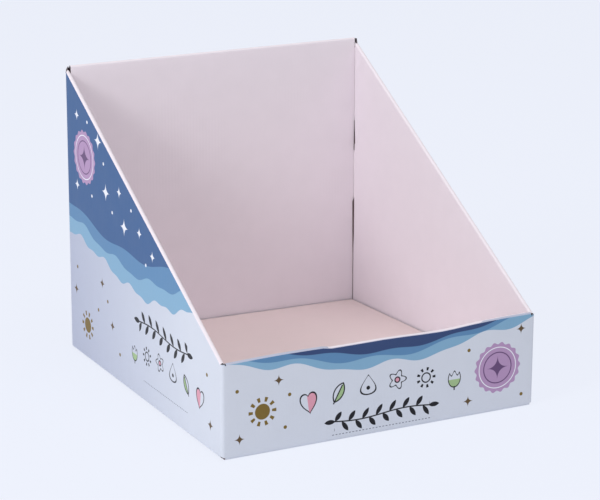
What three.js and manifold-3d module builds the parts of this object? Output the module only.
// Counter display box, folded from one blank of printed micro-flute board.
// Millimetres, +Z up, the low front faces -Y. The origin is the centre of the underside.
//
// The four walls are joined by rounded vertical folds. Each wall is rolled over its top
// edge into an inner leaf, and the front's inner leaf goes on as a loose false floor.
// Below, the side flaps are folded first and the front and back flaps lie under them.

import * as THREE from 'three';
import { mergeVertices } from 'three/addons/utils/BufferGeometryUtils.js';
import Module from 'manifold-3d';

const wasm = await Module();
wasm.setup();

// Outside sizes
const width = 300;
const depth = 326;
const backHeight = 268;
const frontHeight = 84;
const sideRearDrop = 3.2; // the side rim's rear end below the back rim
const sideFrontDrop = 2; // the side rim's front end below the front rim

// Board and walls
const board = 1.2; // one ply
const wall = 3.9; // two plies and the hollow between them
const cornerRadius = 3; // outside of the vertical folds
const rimRadius = 1.8; // outside of the two creases in a rolled rim
const baseFoldRadius = 2; // outside of the folds at the bottom
const bendSegments = 5;

// Clearances between leaves that only lie against each other
const leafClearance = 0.3;
const flapClearance = 0.15;

// Rims, and the relief at the four upper corners, where the rims end open
const rimLeg = 9; // how far a rim's plies run down over the plies that they go on in
const rimLap = 6; // the walls' own plies start this far below a rim
const reliefFront = 2.2; // gap from a side rim's lower end to the front's inner leaf
const reliefRear = 1.2; // gap from a side rim's upper end to the back's inner leaf
const reliefDepth = 3.2; // how far the vertical folds stop below the rims
const endRimInset = 3.6; // the front and back rims stop this far from the outer side faces

// False floor: heights of its top face, measured at the right wall
const floorRearHeight = 6.8;
const floorFrontHeight = 22.5;
const floorLeftRise = 4.4; // its left edge lies higher than its right one by this
const floorSideGap = 1.1;
const floorRearGap = 1.2;
const floorFoldRadius = 1.5; // inside of the fold between the front's inner leaf and it

// Bottom flaps and the glue flap
const sideFlapLength = 112;
const bottomSeam = 1;
const flapCornerCut = 8;
const cornerNotch = 1.2; // the vertical folds start this far above the underside
const glueFlapLength = 32;

// Recesses in the rear edge of each side's inner leaf: [height, depth], from the foot up
const leafRecess = [[60, 0.6], [74, 1.4], [110, 1.4], [112, 0], [156, 0], [157, 0.8], [164.5, 0.9], [165, 2.1], [194, 0]];

// Height of the front rim along its length, as it has sagged: [share of half the width, rise]
const rimWave = [
  [-1, -0.9], [-0.87, -0.2], [-0.76, 0.2], [-0.65, 0.5], [-0.5, 0.4], [-0.38, 0.2], [-0.345, -1.1],
  [-0.17, -1], [0, -0.8], [0.14, -1.2], [0.27, -1.8], [0.38, -2.1], [0.47, -1.6], [0.59, -0.4],
  [0.7, 0.3], [0.81, 0.7], [1, 0.9],
];

const right = width / 2;
const sideFoot = board + flapClearance; // underside of the side flaps
const flapTop = sideFoot + board;
const leafFoot = flapTop + flapClearance;
const slope = (backHeight - sideRearDrop - (frontHeight - sideFrontDrop)) / depth;
const sideTop = (y) => frontHeight - sideFrontDrop + slope * y;

// Solids and booleans

function toManifold(geometry) {
  const bare = geometry.index ? geometry.toNonIndexed() : geometry.clone();
  bare.deleteAttribute('normal');
  bare.deleteAttribute('uv');
  const merged = mergeVertices(bare, 1e-4);
  const mesh = new wasm.Mesh({
    numProp: 3,
    vertProperties: new Float32Array(merged.attributes.position.array),
    triVerts: new Uint32Array(merged.index.array),
  });
  return new wasm.Manifold(mesh);
}

function toGeometry(manifold) {
  const mesh = manifold.getMesh();
  const geometry = new THREE.BufferGeometry();
  geometry.setAttribute('position', new THREE.BufferAttribute(new Float32Array(mesh.vertProperties), 3));
  geometry.setIndex(new THREE.BufferAttribute(new Uint32Array(mesh.triVerts), 1));
  geometry.computeVertexNormals();
  return geometry;
}

function shapeOf(points) {
  return new THREE.Shape(points.map(([u, v]) => new THREE.Vector2(u, v)));
}

// A prism on an outline in the YZ plane, between two X values
function prismAlongX(points, fromX, toX, steps = 1) {
  const geometry = new THREE.ExtrudeGeometry(shapeOf(points), {
    depth: toX - fromX,
    steps,
    bevelEnabled: false,
  });
  const basis = new THREE.Matrix4().makeBasis(
    new THREE.Vector3(0, 1, 0),
    new THREE.Vector3(0, 0, 1),
    new THREE.Vector3(1, 0, 0),
  );
  return geometry.applyMatrix4(basis).translate(fromX, 0, 0);
}

// A prism on an outline in the XZ plane, between two Y values
function prismAlongY(points, fromY, toY) {
  const geometry = new THREE.ExtrudeGeometry(shapeOf(points), { depth: toY - fromY, bevelEnabled: false });
  const basis = new THREE.Matrix4().makeBasis(
    new THREE.Vector3(1, 0, 0),
    new THREE.Vector3(0, 0, 1),
    new THREE.Vector3(0, -1, 0),
  );
  return geometry.applyMatrix4(basis).translate(0, toY, 0);
}

// A prism on an outline in the XY plane, between two heights
function prismAlongZ(shape, fromZ, toZ) {
  const geometry = new THREE.ExtrudeGeometry(shape, {
    depth: toZ - fromZ,
    bevelEnabled: false,
    curveSegments: bendSegments,
  });
  return geometry.translate(0, 0, fromZ);
}

// The outline of a folded ply. The path is the ply's printed face, which lies on the left
// as one walks along it, and each inner point has the radius of the fold on that face.
function plyOutline(path, radii) {
  const leftFace = [];
  const rightFace = [];
  const add = (x, y, nx, ny) => {
    leftFace.push([x, y]);
    rightFace.push([x - nx * board, y - ny * board]);
  };
  const unit = (a, b) => {
    const length = Math.hypot(b[0] - a[0], b[1] - a[1]);
    return [(b[0] - a[0]) / length, (b[1] - a[1]) / length];
  };
  const last = path.length - 1;
  const first = unit(path[0], path[1]);
  add(path[0][0], path[0][1], -first[1], first[0]);
  for (let i = 1; i < last; i += 1) {
    const before = unit(path[i - 1], path[i]);
    const after = unit(path[i], path[i + 1]);
    const cross = before[0] * after[1] - before[1] * after[0];
    const turn = Math.atan2(cross, before[0] * after[0] + before[1] * after[1]);
    const radius = radii[i - 1];
    const setback = radius * Math.tan(Math.abs(turn) / 2);
    const side = Math.sign(turn);
    const startX = path[i][0] - before[0] * setback;
    const startY = path[i][1] - before[1] * setback;
    const centreX = startX - before[1] * radius * side;
    const centreY = startY + before[0] * radius * side;
    for (let k = 0; k <= bendSegments; k += 1) {
      const angle = (turn * k) / bendSegments;
      const nx = -before[1] * Math.cos(angle) - before[0] * Math.sin(angle);
      const ny = before[0] * Math.cos(angle) - before[1] * Math.sin(angle);
      add(centreX - nx * radius * side, centreY - ny * radius * side, nx, ny);
    }
  }
  const end = unit(path[last - 1], path[last]);
  add(path[last][0], path[last][1], -end[1], end[0]);
  return leftFace.concat(rightFace.reverse());
}

// Parts of the blank

const panelEnd = right - cornerRadius; // where the front and back walls meet their folds
const rimEnd = right - endRimInset;
const leafEnd = right - board - leafClearance; // half the length of the front and back inner leaves

// A quarter ring standing at one of the vertical folds
function verticalFold(signX, signY, inset, foot, top) {
  const centreX = signX * (panelEnd - inset);
  const centreY = signY < 0 ? cornerRadius : depth - cornerRadius;
  const from = Math.atan2(signY, signX) - Math.PI / 4;
  const shape = new THREE.Shape();
  shape.absarc(centreX, centreY, cornerRadius, from, from + Math.PI / 2, false);
  shape.absarc(centreX, centreY, cornerRadius - board, from + Math.PI / 2, from, true);
  shape.closePath();
  return toManifold(prismAlongZ(shape, foot, top));
}

// A front or back wall's outer ply
function endWall(nearY, fromX, toX, height) {
  const top = height - rimLap;
  const outline = [[nearY, baseFoldRadius], [nearY + board, baseFoldRadius], [nearY + board, top], [nearY, top]];
  return toManifold(prismAlongX(outline, fromX, toX));
}

// The rolled rim of the front or back wall, with its two short legs
function endRim(height) {
  const path = [[0, height - rimLeg], [0, height], [wall, height], [wall, height - rimLeg]];
  return plyOutline(path, [rimRadius, rimRadius]);
}

// The front rim follows the sag: each station of the extrusion takes its place and rise
function sagged(geometry, steps) {
  const position = geometry.attributes.position;
  for (let i = 0; i < position.count; i += 1) {
    const station = Math.round(((position.getX(i) + rimEnd) / (2 * rimEnd)) * steps);
    const [share, rise] = rimWave[station];
    position.setX(i, share * rimEnd);
    position.setZ(i, position.getZ(i) + rise);
  }
  return geometry;
}

function frontRim() {
  const steps = rimWave.length - 1;
  return toManifold(sagged(prismAlongX(endRim(frontHeight), -rimEnd, rimEnd, steps), steps));
}

function backRim() {
  const outline = endRim(backHeight).map(([y, z]) => [depth - y, z]);
  return toManifold(prismAlongX(outline, -rimEnd, rimEnd));
}

// The front's inner leaf and the false floor that it goes on in
function innerLeafAndFloor() {
  const floorEnd = depth - wall - floorRearGap;
  const path = [[wall, frontHeight - rimLap], [wall, floorFrontHeight], [floorEnd, floorRearHeight]];
  const geometry = prismAlongX(plyOutline(path, [floorFoldRadius]), -leafEnd, leafEnd);
  const position = geometry.attributes.position;
  for (let i = 0; i < position.count; i += 1) {
    if (position.getZ(i) < floorFrontHeight + 2 * board + floorFoldRadius) {
      const share = (leafEnd - position.getX(i)) / (2 * leafEnd);
      position.setZ(i, position.getZ(i) + share * floorLeftRise);
    }
  }
  const floorHalf = right - wall - floorSideGap;
  const keep = new THREE.Shape();
  keep.moveTo(-leafEnd, 0);
  keep.lineTo(leafEnd, 0);
  keep.lineTo(leafEnd, wall);
  keep.lineTo(floorHalf, wall);
  keep.lineTo(floorHalf, depth);
  keep.lineTo(-floorHalf, depth);
  keep.lineTo(-floorHalf, wall);
  keep.lineTo(-leafEnd, wall);
  keep.closePath();
  return toManifold(geometry).intersect(toManifold(prismAlongZ(keep, 0, frontHeight)));
}

// The back's inner leaf
function backLeaf() {
  const inner = depth - wall;
  const top = backHeight - rimLap;
  const outline = [[inner, leafFoot], [inner + board, leafFoot], [inner + board, top], [inner, top]];
  return toManifold(prismAlongX(outline, -leafEnd, leafEnd));
}

// A side wall's outer ply, up to where its rim's outer leg covers it
function sideWall(sign, toY) {
  const rimFrom = wall + reliefFront;
  const rimTo = depth - wall - reliefRear;
  const foot = sideFoot + baseFoldRadius;
  const outline = [
    [cornerRadius, foot],
    [toY, foot],
    [toY, sideTop(rimTo) - reliefDepth],
    [rimTo, sideTop(rimTo) - reliefDepth],
    [rimTo, sideTop(rimTo) - rimLap],
    [rimFrom, sideTop(rimFrom) - rimLap],
    [rimFrom, sideTop(rimFrom) - reliefDepth],
    [cornerRadius, sideTop(cornerRadius) - reliefDepth],
  ];
  const near = sign < 0 ? -right : right - board;
  return toManifold(prismAlongX(outline, near, near + board));
}

// A side's sloping rim and its inner leaf, rolled in one along the slope
function sideRimAndLeaf(sign) {
  const rimFrom = wall + reliefFront;
  const rimTo = depth - wall - reliefRear;
  const rearEdge = depth - wall - leafClearance;
  const frontEdge = wall + leafClearance;
  const over = wall; // spare height above the rim, which the rolled section limits
  const path = [[-right, -rimLeg], [-right, 0], [wall - right, 0], [wall - right, -backHeight]];
  const section = plyOutline(path, [rimRadius, rimRadius]).map(([x, v]) => [-sign * x, v]);

  const pitch = Math.atan(slope);
  const along = new THREE.Vector3(0, Math.cos(pitch), Math.sin(pitch));
  const across = new THREE.Vector3(0, -Math.sin(pitch), Math.cos(pitch));
  const basis = new THREE.Matrix4().makeBasis(new THREE.Vector3(1, 0, 0), across, along.clone().negate());
  const run = new THREE.ExtrudeGeometry(shapeOf(section), { depth: depth + 2 * backHeight, bevelEnabled: false });
  run.applyMatrix4(basis).translate(0, depth + backHeight * along.y, sideTop(depth) + backHeight * along.z);

  const band = [
    [rimFrom, sideTop(rimFrom) - rimLeg],
    [rimTo, sideTop(rimTo) - rimLeg],
    [rimTo, sideTop(rimTo) + over],
    [rimFrom, sideTop(rimFrom) + over],
  ];
  const leaf = [
    [frontEdge, leafFoot],
    [rearEdge - leafRecess[0][1], leafFoot],
    ...leafRecess.map(([height, recess]) => [rearEdge - recess, height]),
    [rearEdge, sideTop(rimTo) - reliefDepth],
    [rimTo, sideTop(rimTo) - reliefDepth],
    [rimTo, sideTop(rimTo) + over],
    [rimFrom, sideTop(rimFrom) + over],
    [rimFrom, sideTop(rimFrom) - reliefDepth],
    [frontEdge, sideTop(frontEdge) - reliefDepth],
  ];
  const outer = right + board;
  const middle = right - wall / 2;
  const inner = right - wall - board;
  const bandPrism = sign < 0 ? prismAlongX(band, -outer, -inner) : prismAlongX(band, inner, outer);
  const leafPrism = sign < 0 ? prismAlongX(leaf, -middle, -inner) : prismAlongX(leaf, inner, middle);
  return toManifold(run).intersect(toManifold(bandPrism).add(toManifold(leafPrism)));
}

// A lower fold of the front or back wall, and the flap that it carries
function endFlap(isFront) {
  const reach = depth / 2 - bottomSeam / 2;
  const hinge = 2 * baseFoldRadius;
  const turned = isFront ? (y) => y : (y) => depth - y;
  const fold = plyOutline([[hinge, 0], [0, 0], [0, hinge]], [baseFoldRadius]).map(([y, z]) => [turned(y), z]);
  const flap = shapeOf([
    [-panelEnd, turned(baseFoldRadius)],
    [panelEnd, turned(baseFoldRadius)],
    [panelEnd, turned(reach - flapCornerCut)],
    [panelEnd - flapCornerCut, turned(reach)],
    [flapCornerCut - panelEnd, turned(reach)],
    [-panelEnd, turned(reach - flapCornerCut)],
  ]);
  return toManifold(prismAlongX(fold, -panelEnd, panelEnd)).add(toManifold(prismAlongZ(flap, 0, board)));
}

// A lower fold of a side wall, and the flap that lies above the front and back ones
function sideFlap(sign) {
  const hinge = 2 * baseFoldRadius;
  const path = [[hinge - right, sideFoot], [-right, sideFoot], [-right, sideFoot + hinge]];
  const fold = plyOutline(path, [baseFoldRadius]).map(([x, z]) => [-sign * x, z]);
  const near = cornerRadius;
  const far = depth - cornerRadius;
  const flap = shapeOf([
    [sign * (right - baseFoldRadius), near],
    [sign * (right - sideFlapLength), near + flapCornerCut],
    [sign * (right - sideFlapLength), far - flapCornerCut],
    [sign * (right - baseFoldRadius), far],
  ]);
  return toManifold(prismAlongY(fold, near, far)).add(toManifold(prismAlongZ(flap, sideFoot, flapTop)));
}

// The glue flap, folded off the back wall and lying inside the right wall's outer ply
function glueFlap(inset) {
  const outerX = right - inset;
  const top = sideTop(depth - cornerRadius - glueFlapLength) - rimLap;
  const foot = leafFoot + baseFoldRadius;
  const flap = shapeOf([
    [outerX - board, depth - cornerRadius],
    [outerX, depth - cornerRadius],
    [outerX, depth - cornerRadius - glueFlapLength],
    [outerX - board, depth - cornerRadius - glueFlapLength],
  ]);
  return toManifold(prismAlongZ(flap, foot, top)).add(verticalFold(1, 1, inset, foot, backHeight - reliefDepth));
}

function foldedBox() {
  const glueInset = board + flapClearance;
  const parts = [
    verticalFold(-1, -1, 0, cornerNotch, frontHeight - reliefDepth),
    verticalFold(1, -1, 0, cornerNotch, frontHeight - reliefDepth),
    verticalFold(-1, 1, 0, cornerNotch, backHeight - reliefDepth),
    glueFlap(glueInset),
    endWall(0, -panelEnd, panelEnd, frontHeight),
    endWall(depth - board, -panelEnd, panelEnd - glueInset, backHeight),
    frontRim(),
    backRim(),
    innerLeafAndFloor(),
    backLeaf(),
    sideWall(-1, depth - cornerRadius),
    sideWall(1, depth - flapClearance),
    sideRimAndLeaf(-1),
    sideRimAndLeaf(1),
    endFlap(true),
    endFlap(false),
    sideFlap(-1),
    sideFlap(1),
  ];
  return parts.reduce((solid, part) => solid.add(part));
}

const printedBoard = new THREE.MeshStandardMaterial({ color: 0xcdd2e3, roughness: 0.55, metalness: 0 });

const box = new THREE.Mesh(toGeometry(foldedBox()).translate(0, -depth / 2, 0), printedBoard);
box.name = 'display_box';

const group = new THREE.Group();
group.add(box);

export default group;
